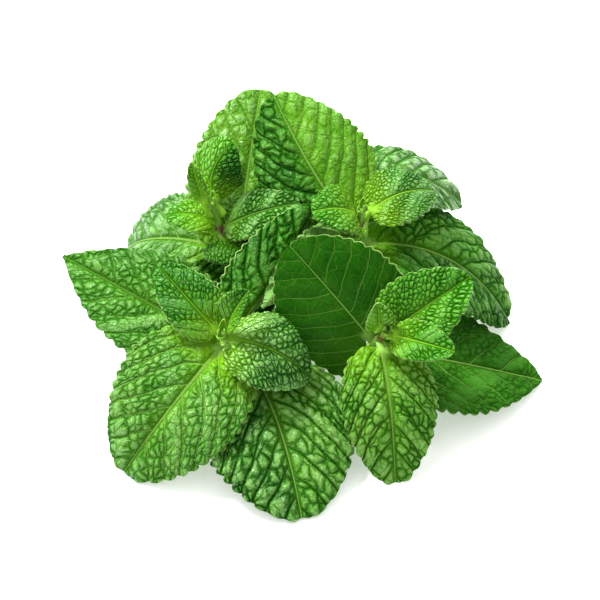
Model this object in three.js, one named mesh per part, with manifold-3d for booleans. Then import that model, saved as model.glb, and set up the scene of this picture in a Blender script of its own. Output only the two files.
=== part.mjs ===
// A cut sprig of mint that lies on its lower leaves: one square stem with four side shoots, each with
// its leaves in crossed pairs. Millimetres, +Z up, +X right, -Y front. The origin is the middle of the
// sprig's box, on the surface that it lies on.
import * as THREE from "three";
import Module from "manifold-3d";

const wasm = await Module();
wasm.setup();

// Driving dimensions of a leaf
const bladeThickness = 0.7;
const petioleThickness = 1.2;
const petioleHalfWidth = 0.7;
const ribDepth = 0.45; // how far the midrib stands out of the lower face at its base
const toothDepth = 0.07; // share of the half width
const toothPeak = 0.62; // where on its step a tooth is highest, towards the leaf's tip
const tipHalfWidth = 0.35;
const widestAt = 0.8; // exponent that sets the widest place below the middle of the blade
const bluntness = 0.48; // exponent that rounds the base and the tip
const stemGap = 0.45; // clear space between a petiole and the stem
const youngLeafTeeth = 10; // a leaf with fewer teeth than this is a young, lighter one
const columns = [-1, -0.55, 0, 0.55, 1]; // places across a leaf, from edge to edge

// Driving dimensions of the stem, which is square with blunt corners, as mint's is
const mainStemWidth = 4.4;
const shootBaseWidth = 3;
const shootTopWidth = 1.6;
const cornerCut = 0.25; // share of the width
const mainStemPath = [
  [14, 40, 2.2],
  [7, 22, 2.2],
  [2, 4, 2.2],
  [-1, -8, 2.2],
];
// The two smallest leaves of a shoot, closed around its top: how far they stand over it, how far their
// bases are sunk into it and apart, and the shape of each
const budLeaf = {
  length: 2.6,
  lean: 0.1,
  sunk: 0.8,
  apart: 0.3,
  width: 1.3,
  arch: -0.5,
  fold: 20,
  curl: 20,
  teeth: 2,
  petiole: 0.1,
  lobes: 0,
};
const mainStemSteps = 8;
const shootSteps = 10;

// The middle of the sprig's box in the positions below, which is moved to the origin at the end
const boxMiddle = [0.6, -6.08];

// Shoots, and for each leaf:
//   below      how far down the shoot from its top the leaf grows
//   tip        where its tip is
//   width      its greatest width
//   arch, sway how far the midrib bulges upwards and to its right from the straight line
//   bend       where along the leaf it bulges most, as a share
//   fold, curl how far each half turns up at the midrib and on towards its edge, in degrees
//   face       the way its upper face looks, upwards when left out
//   teeth      teeth along each edge
//   petiole    share of the length that is stalk
//   lobes      how far the base's two lobes reach back, as a share of the half width
const usualLeaf = { bend: 0.4, sway: 0, face: [0, 0, 1], teeth: 15, petiole: 0.04, lobes: 0.35 };
const shoots = [
  {
    name: "front_left",
    path: [[-1, -7, 2.2], [-22, -18, 8], [-23, -25.5, 35]],
    leaves: [
      { name: "pair_1_left", below: 17.2, tip: [-74, 10.2, 29.3], width: 35.5, arch: 3, sway: -0.6,
        fold: 7, curl: -8, face: [0, -0.3, 0.9], lobes: 0.2 },
      { name: "pair_1_right", below: 22.4, tip: [0.5, -68, 1], width: 48.5, arch: 7, sway: -1.9,
        fold: 6, curl: -22, face: [0.1, -0.3, 0.9], petiole: 0.17 },
      { name: "pair_2_front", below: 8, tip: [-53, -51.5, 1], width: 42, arch: 8, sway: -0.7,
        fold: 6, curl: -20, face: [0, -0.4, 0.9], lobes: 0.1 },
      { name: "pair_2_back", below: 8, tip: [5, 12.8, 49.2], width: 28.5, arch: 2, fold: -48,
        curl: -10, face: [0.6, -0.75, 0.22], lobes: 0.2 },
      { name: "pair_3_left", below: 3, tip: [-42, -7, 44], width: 18, arch: 3, fold: 6, curl: -16,
        face: [-0.1, -0.5, 0.8], teeth: 9 },
      { name: "pair_3_right", below: 2.5, tip: [3, -31, 21], width: 26, arch: 7, fold: 4, curl: -34,
        face: [0, -0.25, 0.9], teeth: 9 },
      { name: "pair_4_back", below: 1.8, tip: [-15, -20, 48], width: 12, arch: 1.5, fold: 24,
        curl: 10, face: [-0.6, -0.5, 0.6], teeth: 6, petiole: 0.15 },
    ],
  },
  {
    name: "front_right",
    path: [[0, -7, 2.2], [20, -16, 8], [25.5, -25, 36]],
    leaves: [
      { name: "pair_1_left", below: 11.5, tip: [-3, -6.5, 52.5], width: 41, arch: 2, sway: 0.8,
        fold: 4, curl: -10, face: [-0.2, -0.72, 0.6], lobes: 1.8 },
      { name: "pair_1_right", below: 17, tip: [76.1, -17, 1], width: 43, arch: 1, fold: 6,
        curl: -10 },
      { name: "pair_2_front", below: 7.6, tip: [28.5, -55.5, 1], width: 29.5, arch: 8, sway: 0.1,
        fold: 4, curl: -22 },
      { name: "pair_2_back", below: 6, tip: [49.5, -18, 52], width: 24, arch: 3, fold: 18, curl: -12,
        face: [-0.2, -0.6, 0.7], teeth: 9, lobes: 0.1 },
      { name: "pair_3_left", below: 3.6, tip: [22.6, -24, 47], width: 10, arch: 1, fold: 18,
        curl: 10, face: [0.4, -0.6, 0.5], teeth: 6, petiole: 0.18 },
      { name: "pair_3_right", below: 1.8, tip: [44.5, -37, 41], width: 13, arch: 2, fold: 10,
        curl: -10, face: [0, -0.5, 0.8], teeth: 7, petiole: 0.1 },
    ],
  },
  {
    name: "back_right",
    path: [[1, -2, 2.2], [18, 12, 14], [18.5, 10, 50]],
    leaves: [
      { name: "pair_1_left", below: 12, tip: [-12.5, -15, 37], width: 21, arch: -1.2, fold: 6,
        curl: -10, face: [-0.25, 0.7, -0.67] },
      { name: "pair_1_right", below: 18, tip: [67.2, 8.5, 1], width: 41, arch: 12, sway: -1.5,
        fold: 8, curl: -18, lobes: 0.8 },
      { name: "pair_2_right", below: 12.9, tip: [52.4, 36.8, 25.2], width: 29, arch: 12, sway: -8,
        bend: 0.22, fold: 4, curl: -16, face: [0, -0.1, 1], petiole: 0.1, lobes: 0 },
      { name: "pair_2_back", below: 10, tip: [-8, 42.8, 66.4], width: 39.5, arch: 3, sway: -1.2,
        fold: -4, curl: -26, face: [-0.15, -0.6, 0.6], petiole: 0.1, lobes: 0.1 },
      { name: "pair_3_right", below: 3.5, tip: [41.2, 21.8, 48], width: 22.5, arch: 5, fold: 10,
        curl: -24, face: [0, -0.1, 1], teeth: 9, petiole: 0.08, lobes: 0.15 },
      { name: "pair_3_left", below: 1.8, tip: [3.5, 5, 55], width: 15, arch: 3, fold: 10, curl: -26,
        face: [0, -0.2, 1], teeth: 7 },
      { name: "pair_4_front", below: 6, tip: [13, -2, 47], width: 8, arch: 2, fold: 10, curl: -20,
        teeth: 6 },
    ],
  },
  {
    name: "back_left",
    path: [[0, -1, 2.2], [-22, 15, 12], [-27, 18.5, 44]],
    leaves: [
      { name: "pair_1_left", below: 18, tip: [-58, 39.2, 1], width: 32.5, arch: 7, fold: 6, curl: -8,
        face: [0, -0.38, 0.9], petiole: 0.08 },
      { name: "pair_1_back", below: 21, tip: [-12.5, 56, 57], width: 38.5, arch: 3, fold: 2,
        curl: -14, face: [0, -0.6, 0.75], petiole: 0.12 },
      { name: "pair_1_front", below: 25.3, tip: [-27, -9, 16], width: 26, arch: 2, fold: 6,
        curl: -14, lobes: 0 },
      { name: "pair_2_right", below: 10, tip: [0, 16.2, 47], width: 16, arch: 3, fold: 8, curl: -16,
        face: [0, -0.3, 0.9] },
      { name: "pair_2_front", below: 13.4, tip: [-17.5, 5.4, 31.2], width: 22, arch: 1.5, fold: 8,
        curl: -16, teeth: 8 },
      { name: "pair_2_left", below: 8, tip: [-41.5, 17.5, 40], width: 15, arch: 3, fold: 4,
        curl: -20, teeth: 7 },
      { name: "pair_3_back", below: 4.2, tip: [-20.5, 28.2, 61], width: 21, arch: 1, sway: -4.5,
        fold: -22, curl: -10, face: [-0.3, -0.6, 0.7], teeth: 8, petiole: 0.13, lobes: 0.1 },
      { name: "pair_3_left", below: 3.4, tip: [-34, 20, 57.5], width: 4.6, arch: 0.6, fold: 5,
        curl: 5, face: [0.7, -0.5, 0.3], teeth: 5, petiole: 0.3 },
    ],
  },
];

const vector = ([x, y, z]) => new THREE.Vector3(x, y, z);
const curveThrough = ([start, control, end]) =>
  new THREE.QuadraticBezierCurve3(vector(start), vector(control), vector(end));

// Half width of the blade at share s of its length, before the teeth
const ovate = (s) => Math.sin(Math.PI * s ** widestAt) ** bluntness;

// The steps along a leaf: how far along it each is, the half width there and how far the lobes reach back
function leafSteps(leaf) {
  const { width, teeth, petiole, lobes } = leaf;
  const half = width / 2;
  const steps = [
    { along: 0, half: petioleHalfWidth, back: 0 },
    { along: petiole, half: petioleHalfWidth, back: 0 },
  ];
  for (let k = 0; k < teeth; k++) {
    for (const [phase, cut] of [[0, toothDepth], [toothPeak, 0]]) {
      const s = (k + phase) / teeth;
      if (s === 0) continue;
      const wide = Math.max(half * ovate(s) * (1 - cut), petioleHalfWidth);
      steps.push({ along: petiole + (1 - petiole) * s, half: wide, back: lobes * wide * (1 - s) ** 6 });
    }
  }
  steps.push({ along: 1, half: tipHalfWidth, back: 0 });
  return steps;
}

// The middle surface of a leaf: a row of points across it for each step
function leafSurface(leaf) {
  const { base, tip, face, arch, sway, bend, fold, curl } = leaf;
  const chord = tip.clone().sub(base);
  const ahead = chord.clone().normalize();
  const up = face.clone().addScaledVector(ahead, -face.dot(ahead)).normalize();
  const control = base.clone().addScaledVector(chord, bend).addScaledVector(up, 2 * arch);
  control.addScaledVector(ahead.cross(up), 2 * sway);
  const midrib = new THREE.QuadraticBezierCurve3(base, control, tip);
  const foldAngle = THREE.MathUtils.degToRad(fold);
  const curlAngle = THREE.MathUtils.degToRad(curl);
  return leafSteps(leaf).map(({ along, half, back }) => {
    const centre = midrib.getPoint(along);
    const tangent = midrib.getTangent(along);
    const normal = face.clone().addScaledVector(tangent, -face.dot(tangent)).normalize();
    const across = tangent.clone().cross(normal);
    return columns.map((v) => {
      const t = Math.abs(v);
      const out = (Math.sin(foldAngle + curlAngle * t) - Math.sin(foldAngle)) / curlAngle;
      const rise = (Math.cos(foldAngle) - Math.cos(foldAngle + curlAngle * t)) / curlAngle;
      const point = centre.clone().addScaledVector(tangent, -back * t * t);
      point.addScaledVector(across, Math.sign(v) * half * out).addScaledVector(normal, half * rise);
      point.z = Math.max(point.z, bladeThickness / 2); // the surface holds up what would sink into it
      return point;
    });
  });
}

// The normal of a grid of points at row i and column j
function gridNormal(grid, i, j) {
  const last = grid.length - 1;
  const end = grid[0].length - 1;
  const along = grid[Math.min(i + 1, last)][j].clone().sub(grid[Math.max(i - 1, 0)][j]);
  const across = grid[i][Math.min(j + 1, end)].clone().sub(grid[i][Math.max(j - 1, 0)]);
  return across.cross(along).normalize();
}

// A closed blade around the middle surface, with both faces split alike
function leafGeometry(leaf) {
  const grid = leafSurface(leaf);
  const rows = grid.length;
  const across = columns.length;
  const positions = [];
  for (const side of [1, -1]) {
    grid.forEach((row, i) =>
      row.forEach((point, j) => {
        const inPetiole = i < 2;
        let depth = (inPetiole ? petioleThickness : bladeThickness) / 2;
        if (side < 0 && !inPetiole && columns[j] === 0) depth += ribDepth * (1 - i / rows);
        const moved = point.clone().addScaledVector(gridNormal(grid, i, j), side * depth);
        moved.z = Math.max(moved.z, 0);
        positions.push(...moved);
      }),
    );
  }
  const at = (side, i, j) => side * rows * across + i * across + j;
  const index = [];
  const quad = (a, b, c, d) => index.push(a, b, c, a, c, d);
  for (let i = 0; i < rows - 1; i++) {
    for (let j = 0; j < across - 1; j++) {
      quad(at(0, i, j), at(0, i, j + 1), at(0, i + 1, j + 1), at(0, i + 1, j));
      index.push(at(1, i, j), at(1, i + 1, j + 1), at(1, i, j + 1));
      index.push(at(1, i, j), at(1, i + 1, j), at(1, i + 1, j + 1));
    }
    quad(at(0, i, 0), at(0, i + 1, 0), at(1, i + 1, 0), at(1, i, 0));
    const j = across - 1;
    quad(at(0, i + 1, j), at(0, i, j), at(1, i, j), at(1, i + 1, j));
  }
  for (let j = 0; j < across - 1; j++) {
    quad(at(0, 0, j + 1), at(0, 0, j), at(1, 0, j), at(1, 0, j + 1));
    const i = rows - 1;
    quad(at(0, i, j), at(0, i, j + 1), at(1, i, j + 1), at(1, i, j));
  }
  return new THREE.BufferGeometry()
    .setAttribute("position", new THREE.Float32BufferAttribute(positions, 3))
    .setIndex(index);
}

// Fills in what a leaf's line leaves out, and finds where its petiole meets the shoot
function placeLeaf(shoot, line) {
  const curve = curveThrough(shoot.path);
  const share = 1 - line.below / curve.getLength();
  const node = curve.getPointAt(share);
  const axis = curve.getTangentAt(share);
  const tip = vector(line.tip);
  const out = tip.clone().sub(node);
  out.addScaledVector(axis, -out.dot(axis)).normalize();
  const stemWidth = THREE.MathUtils.lerp(shootBaseWidth, shootTopWidth, share);
  const base = node.addScaledVector(out, stemWidth / 2 + stemGap + petioleThickness / 2);
  const leaf = { ...usualLeaf, ...line };
  return { ...leaf, tip, base, face: vector(leaf.face) };
}

// The eight corners of the stem's section, a square of the given width with its corners cut
function squareSection(width) {
  const edge = width / 2;
  const inner = edge - width * cornerCut;
  return [
    [edge, -inner], [edge, inner], [inner, edge], [-inner, edge],
    [-edge, inner], [-edge, -inner], [-inner, -edge], [inner, -edge],
  ];
}

// A closed stalk along a curve, from one width to another. `side` is a direction across the whole curve.
function stalk(curve, startWidth, endWidth, side, steps) {
  const positions = [];
  for (let i = 0; i <= steps; i++) {
    const share = i / steps;
    const centre = curve.getPointAt(share);
    const tangent = curve.getTangentAt(share);
    const first = side.clone().addScaledVector(tangent, -side.dot(tangent)).normalize();
    const second = tangent.clone().cross(first);
    for (const [a, b] of squareSection(THREE.MathUtils.lerp(startWidth, endWidth, share))) {
      positions.push(...centre.clone().addScaledVector(first, a).addScaledVector(second, b));
    }
  }
  const index = [];
  for (let i = 0; i < steps; i++) {
    for (let k = 0; k < 8; k++) {
      const a = i * 8 + k;
      const b = i * 8 + ((k + 1) % 8);
      index.push(a, b, b + 8, a, b + 8, a + 8);
    }
  }
  for (let k = 1; k < 7; k++) {
    index.push(0, k + 1, k);
    index.push(steps * 8, steps * 8 + k, steps * 8 + k + 1);
  }
  return new THREE.BufferGeometry()
    .setAttribute("position", new THREE.Float32BufferAttribute(positions, 3))
    .setIndex(index);
}

// The two bud leaves at the top of a shoot, one to each side
function budLeaves(curve) {
  const top = curve.getPoint(1);
  const axis = curve.getTangent(1);
  return [-1, 1].map((sign) => {
    const out = new THREE.Vector3(sign, 0, 0).addScaledVector(axis, -sign * axis.x).normalize();
    const base = top.clone().addScaledVector(axis, -budLeaf.sunk).addScaledVector(out, budLeaf.apart);
    const tip = top.clone().addScaledVector(axis, budLeaf.length).addScaledVector(out, budLeaf.lean);
    return leafGeometry({ ...usualLeaf, ...budLeaf, base, tip, face: out.negate() });
  });
}

function toSolid(geometry) {
  return new wasm.Manifold(
    new wasm.Mesh({
      numProp: 3,
      vertProperties: geometry.attributes.position.array,
      triVerts: new Uint32Array(geometry.index.array),
    }),
  );
}

function fromSolid(solid) {
  const { vertProperties, triVerts } = solid.getMesh();
  return new THREE.BufferGeometry()
    .setAttribute("position", new THREE.BufferAttribute(vertProperties, 3))
    .setIndex(new THREE.BufferAttribute(triVerts, 1));
}

// The main stem, the four shoots that grow from it and the bud at the top of each, in one piece
function stemGeometry() {
  const main = new THREE.CatmullRomCurve3(mainStemPath.map(vector));
  const up = new THREE.Vector3(0, 0, 1);
  const pieces = [stalk(main, mainStemWidth, mainStemWidth, up, mainStemSteps)];
  for (const { path } of shoots) {
    const curve = curveThrough(path);
    const [start, control, end] = path.map(vector);
    const side = control.clone().sub(start).cross(end.sub(control)).normalize();
    pieces.push(stalk(curve, shootBaseWidth, shootTopWidth, side, shootSteps), ...budLeaves(curve));
  }
  return fromSolid(pieces.map(toSolid).reduce((whole, piece) => whole.add(piece)));
}

const leafMaterial = new THREE.MeshStandardMaterial({ color: 0x3f8f2b, roughness: 0.55, metalness: 0 });
const youngLeafMaterial = new THREE.MeshStandardMaterial({ color: 0x6bb13a, roughness: 0.55, metalness: 0 });
const stemMaterial = new THREE.MeshStandardMaterial({ color: 0x6f7a3a, roughness: 0.6, metalness: 0 });

const sprig = new THREE.Group();
sprig.name = "mint_sprig";

const stem = new THREE.Mesh(stemGeometry(), stemMaterial);
stem.name = "stem";
sprig.add(stem);

for (const shoot of shoots) {
  for (const line of shoot.leaves) {
    const leaf = placeLeaf(shoot, line);
    const material = leaf.teeth < youngLeafTeeth ? youngLeafMaterial : leafMaterial;
    const mesh = new THREE.Mesh(leafGeometry(leaf), material);
    mesh.name = shoot.name + "_" + line.name;
    sprig.add(mesh);
  }
}

for (const piece of sprig.children) piece.geometry.translate(-boxMiddle[0], -boxMiddle[1], 0);

export default sprig;
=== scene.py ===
import math

import bpy
import numpy as np
from mathutils import Matrix, Vector


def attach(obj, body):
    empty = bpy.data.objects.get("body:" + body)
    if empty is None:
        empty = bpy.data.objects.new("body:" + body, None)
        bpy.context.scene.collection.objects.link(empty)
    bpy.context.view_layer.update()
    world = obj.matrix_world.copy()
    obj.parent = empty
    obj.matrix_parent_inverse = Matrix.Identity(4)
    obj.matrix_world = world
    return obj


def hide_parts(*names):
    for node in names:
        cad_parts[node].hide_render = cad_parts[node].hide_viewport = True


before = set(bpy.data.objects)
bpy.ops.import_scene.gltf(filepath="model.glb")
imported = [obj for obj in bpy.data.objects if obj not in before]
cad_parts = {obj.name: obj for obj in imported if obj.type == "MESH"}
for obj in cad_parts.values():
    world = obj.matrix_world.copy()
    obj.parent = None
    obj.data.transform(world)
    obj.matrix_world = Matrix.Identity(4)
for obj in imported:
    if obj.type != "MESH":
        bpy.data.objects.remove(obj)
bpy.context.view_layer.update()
print("frame loaded,", len(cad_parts), "nodes")

# Lengths are metres. This is the middle of the sprig's box in the places below, and is moved to the origin.
boxMiddle = np.array([0.0006, -0.00608, 0])
moved = Matrix.Translation(Vector(-boxMiddle))
lowest = 0.00002  # how far the lowest points stay over the surface that the sprig lies on

# Camera, aimed at the middle of the clump from above its front
camera = {
    "target": (-0.0006, 0.00608, 0.020),
    "azimuth": 0,  # degrees, 0 looks along +Y
    "elevation": 50,
    "distance": 0.52,
    "lens": 100,  # mm, on the usual 36 mm sensor
}


def addObject(name, data):
    thing = bpy.data.objects.new(name, data)
    bpy.context.scene.collection.objects.link(thing)
    return thing


def addCamera(facts):
    azimuth, elevation = math.radians(facts["azimuth"]), math.radians(facts["elevation"])
    towards = Vector((-math.sin(azimuth) * math.cos(elevation), -math.cos(azimuth) * math.cos(elevation),
                      math.sin(elevation)))
    data = bpy.data.cameras.new("camera")
    data.lens = facts["lens"]
    view = addObject("camera", data)
    view.location = Vector(facts["target"]) + towards * facts["distance"]
    view.rotation_euler = (-towards).to_track_quat("-Z", "Y").to_euler()
    bpy.context.scene.camera = view


addCamera(camera)
print("camera made")

# What every leaf has unless its own line says otherwise. Angles are degrees.
usualLeaf = {
    "bend": 0.4,  # where along the leaf it bulges most, as a share
    "sway": 0,  # bulge of the midrib to its right
    "face": (0, 0, 1),  # the way the upper face looks
    "teeth": 15,  # along each edge
    "petiole": 0.04,  # share of the length that is stalk
    "point": 0,  # how pointed the tip is, 0 for blunt
    "lobes": 0.35,  # how far the base's two lobes reach back, as a share of the half width
    "stalkWidth": 0.0015,
    "stalkBlend": 0.004,  # how far from the blade's base the stalk takes to become blade
    "toneAndLight": 0.5,  # 0 dark to 1 light, in the leaf's own green and in painted light: lighter where light shines through the leaf, darker where it lies in shade
    "paintedHalfLight": 0,  # painted light and shade: how much lighter the right half is painted, and darker the left one
    "glow": 0.5,  # how yellow the base is
    "pale": 0,  # how pale the side veins are
    "rib": 0.85,  # how pale the midrib is
    "rim": 0.35,  # how pale the margin is
    "paintedSheen": 0.2,  # painted sheen: how pale and greyish the tops of the cells are painted, as the light they reflect; the same amount makes them glossier
    "smooth": (0, 0),  # of the left and the right half, 0 quilted to 1 smooth
    "cells": 1,  # size of the cells, as a share of the usual one
}

# The four side shoots. A path is a curve's start, control point and end.
shoots = {
    "front_left": {
        "tinted": (0.006, 0.0),  # how far down a node is brown, and how brown
        "budSize": 1.05,
        "path": ((-0.001, -0.007, 0.0022), (-0.022, -0.018, 0.008), (-0.023, -0.0255, 0.035)),
    },
    "front_right": {
        "tinted": (0.0055, 1.0),
        "budSize": 1,
        "path": ((0, -0.007, 0.0022), (0.02, -0.016, 0.008), (0.0255, -0.025, 0.036)),
    },
    "back_right": {
        "tinted": (0.0065, 1.0),
        "budSize": 0.9,
        "path": ((0.001, -0.002, 0.0022), (0.018, 0.012, 0.014), (0.0185, 0.01, 0.05)),
    },
    "back_left": {
        "tinted": (0.0098, 1.0),
        "budSize": 0.9,
        "path": ((0, -0.001, 0.0022), (-0.022, 0.015, 0.012), (-0.027, 0.0185, 0.044)),
    },
}

# The leaves of each shoot. below: how far down the shoot a leaf grows; arch: bulge of the midrib upwards;
# fold and curl: how far each half turns up at the midrib and on towards its edge.
leaves = {
    "front_left": {
        "pair_1_left": dict(
            below=0.0172, tip=(-0.074, 0.0102, 0.0293), width=0.0355, arch=0.003, sway=-0.0006, fold=7,
            curl=-8, face=(0, -0.3, 0.9), point=0.45, lobes=0.2, pale=0.15, rib=0.3, paintedSheen=0.3,
            smooth=(0.35, 0.35), cells=0.75),
        "pair_1_right": dict(
            below=0.0224, tip=(0.0005, -0.068, 0.001), width=0.0485, arch=0.007, sway=-0.0019, fold=6,
            curl=-22, face=(0.1, -0.3, 0.9), petiole=0.17, toneAndLight=0.45, paintedHalfLight=-0.15, rib=0.7, paintedSheen=0.45),
        "pair_2_front": dict(
            below=0.008, tip=(-0.053, -0.0515, 0.001), width=0.042, arch=0.008, sway=-0.0007, fold=6,
            curl=-20, face=(0, -0.4, 0.9), petiole=0.01, lobes=0.5, stalkWidth=0.0026, toneAndLight=0.6, glow=1,
            pale=0.45, paintedSheen=0.38, smooth=(0.15, 0.15), cells=0.72),
        "pair_2_back": dict(
            below=0.008, tip=(0.005, 0.0128, 0.0492), width=0.0285, arch=0.002, fold=-48, curl=-10,
            face=(0.6, -0.75, 0.22), lobes=0.2, toneAndLight=0.22, rib=0.4, rim=0.9, paintedSheen=0.15),
        "pair_3_left": dict(
            below=0.003, tip=(-0.042, -0.007, 0.044), width=0.018, arch=0.003, fold=6, curl=-16,
            face=(-0.1, -0.5, 0.8), teeth=9, toneAndLight=0.3, glow=0.45, rib=0.5, rim=0.9, paintedSheen=0.05),
        "pair_3_right": dict(
            below=0.0025, tip=(0.003, -0.031, 0.021), width=0.026, arch=0.007, fold=4, curl=-34,
            face=(0, -0.25, 0.9), teeth=9, petiole=0.01, stalkWidth=0.0026, toneAndLight=0.25, glow=0.4, rib=0.4,
            paintedSheen=0.45, cells=1.15),
        "pair_4_back": dict(
            below=0.0018, tip=(-0.015, -0.02, 0.048), width=0.012, arch=0.0015, fold=24, curl=10,
            face=(-0.6, -0.5, 0.6), teeth=6, petiole=0.15, toneAndLight=0.38, glow=0.3, rim=0.1, paintedSheen=0.08),
    },
    "front_right": {
        "pair_1_left": dict(
            below=0.0115, tip=(-0.003, -0.0065, 0.0525), width=0.041, arch=0.002, sway=0.0008, fold=4,
            curl=-10, face=(-0.2, -0.72, 0.6), lobes=1.8, look="smooth", toneAndLight=0.35, glow=0.1, pale=0.3,
            rib=0.6, rim=0.9, paintedSheen=0.02, smooth=(1, 1)),
        "pair_1_right": dict(
            below=0.017, tip=(0.0761, -0.017, 0.001), width=0.043, arch=0.001, fold=6, curl=-10, point=0.35,
            toneAndLight=0.36, glow=0.1, pale=0.35, paintedSheen=0.04, smooth=(0.4, 0.4), cells=0.7),
        "pair_2_front": dict(
            below=0.0076, tip=(0.0285, -0.0555, 0.001), width=0.0295, arch=0.008, sway=0.0001, fold=4,
            curl=-22, toneAndLight=0.72, rib=0.7, paintedSheen=0.3, cells=0.7),
        "pair_2_back": dict(
            below=0.006, tip=(0.0495, -0.018, 0.052), width=0.024, arch=0.003, fold=18, curl=-12,
            face=(-0.2, -0.6, 0.7), teeth=9, lobes=0.1, toneAndLight=0.6, glow=0.3, paintedSheen=0.08),
        "pair_3_left": dict(
            below=0.0036, tip=(0.0226, -0.024, 0.047), width=0.01, arch=0.001, fold=14, curl=4,
            face=(0.1, -0.6, 0.7), teeth=6, petiole=0.18, toneAndLight=0.85, glow=0.3, paintedSheen=0.3),
        "pair_3_right": dict(
            below=0.0018, tip=(0.0445, -0.037, 0.041), width=0.013, arch=0.002, fold=10, curl=-10,
            face=(0, -0.5, 0.8), teeth=7, petiole=0.1, toneAndLight=0.55, glow=0.35, paintedSheen=0.08),
    },
    "back_right": {
        "pair_1_left": dict(
            below=0.012, tip=(-0.0115, -0.0165, 0.036), width=0.0175, arch=-0.0026, sway=-0.003, bend=0.3,
            fold=6, curl=-10, face=(-0.25, 0.7, -0.67), point=0.4, toneAndLight=0.4),
        "pair_1_right": dict(
            below=0.0152, tip=(0.0672, 0.0085, 0.001), width=0.041, arch=0.0095, sway=-0.0015, fold=8,
            curl=-18, petiole=0.02, lobes=0.7, stalkWidth=0.0026, toneAndLight=0.42, paintedHalfLight=-0.1, paintedSheen=0.12),
        "pair_2_right": dict(
            below=0.0108, tip=(0.0524, 0.0368, 0.0252), width=0.029, arch=0.012, sway=-0.008, bend=0.22,
            fold=4, curl=-16, face=(0, -0.1, 1), petiole=0.1, lobes=0, toneAndLight=0.55, paintedSheen=0.8,
            smooth=(0.75, 0.75)),
        "pair_2_back": dict(
            below=0.01, tip=(-0.008, 0.0428, 0.0664), width=0.0395, arch=0.003, sway=-0.0012, fold=-4,
            curl=-26, face=(-0.15, -0.6, 0.6), petiole=0.1, lobes=0.1, toneAndLight=0.7, paintedHalfLight=0.3,
            smooth=(0, 0.85)),
        "pair_3_right": dict(
            below=0.0035, tip=(0.0412, 0.0205, 0.048), width=0.0222, arch=0.005, fold=10, curl=-24,
            face=(0, -0.1, 1), teeth=9, petiole=0.08, lobes=0.15, toneAndLight=0.28, pale=0.15, paintedSheen=0.3,
            cells=0.85),
        "pair_3_left": dict(
            below=0.0018, tip=(0.0035, 0.005, 0.055), width=0.0185, arch=0.003, fold=10, curl=-26,
            face=(0, -0.2, 1), teeth=7, glow=0.4, paintedSheen=0.1),
        "pair_4_front": dict(
            below=0.006, tip=(0.013, -0.002, 0.047), width=0.008, arch=0.002, fold=10, curl=-20, teeth=6,
            toneAndLight=0.9),
    },
    "back_left": {
        "pair_1_left": dict(
            below=0.018, tip=(-0.058, 0.0392, 0.001), width=0.0325, arch=0.007, fold=6, curl=-8,
            face=(0, -0.38, 0.9), lobes=0.4, toneAndLight=0.4, pale=0.4, paintedSheen=0.35, smooth=(0.5, 0.5)),
        "pair_1_back": dict(
            below=0.021, tip=(-0.0125, 0.056, 0.057), width=0.0385, arch=0.003, fold=2, curl=-14,
            face=(0, -0.6, 0.75), petiole=0.05, toneAndLight=1.0, paintedSheen=0.5, smooth=(0.7, 0.7)),
        "pair_1_front": dict(
            below=0.021, tip=(-0.027, -0.009, 0.016), width=0.034, arch=0.002, sway=-0.002, fold=6,
            curl=-14, lobes=0.3, toneAndLight=0.2, glow=0.1),
        "pair_2_right": dict(
            below=0.01, tip=(0, 0.0162, 0.047), width=0.016, arch=0.003, fold=8, curl=-16,
            face=(0, -0.3, 0.9), look="young", toneAndLight=0.35, glow=0.2, rib=0.3, paintedSheen=0.35),
        "pair_2_front": dict(
            below=0.0132, tip=(-0.0168, 0.0056, 0.032), width=0.0216, arch=0.0015, fold=8, curl=-16,
            teeth=8, toneAndLight=0.2, glow=0.1, rib=0.3, paintedSheen=0.05),
        "pair_2_left": dict(
            below=0.008, tip=(-0.0415, 0.0175, 0.04), width=0.015, arch=0.003, fold=4, curl=-20, teeth=7,
            toneAndLight=0.8, rib=0.3, paintedSheen=0.1),
        "pair_3_back": dict(
            below=0.0042, tip=(-0.0205, 0.0282, 0.061), width=0.021, arch=0.001, sway=-0.0045, fold=-22,
            curl=-10, face=(-0.3, -0.6, 0.7), teeth=8, petiole=0.13, lobes=0.1, toneAndLight=0.56, paintedHalfLight=-0.3,
            paintedSheen=0.1),
        "pair_3_left": dict(
            below=0.0034, tip=(-0.0325, 0.0195, 0.061), width=0.0068, arch=0.0006, fold=10, curl=5,
            face=(-0.3, -0.65, 0.5), teeth=5, petiole=0.3, toneAndLight=1.15, glow=0.3, paintedSheen=0.1),
    },
}

# The smallest leaves of a shoot, closed around its top in two crossed pairs
bud = {
    **usualLeaf,
    "around": (0, 180, 75, 255),  # degrees, where on the shoot each one grows
    "length": (0.0026, 0.0024, 0.0034, 0.0030),  # how far each one stands over the top
    "lean": (0.0007, 0.0007, 0.0030, 0.0028),  # and how far outwards
    "sunk": 0.0008,  # how far their bases are inside the top, and apart
    "apart": 0.0004,
    "width": 0.6,  # share of the length
    "arch": -0.0005,
    "fold": 20,
    "curl": 20,
    "teeth": 4,
    "petiole": 0.1,
    "lobes": 0,
    "stalkWidth": 0.0006,
    "stalkBlend": 0.0008,
    "look": "bud",
    "paintedSheen": 0,
}

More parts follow.
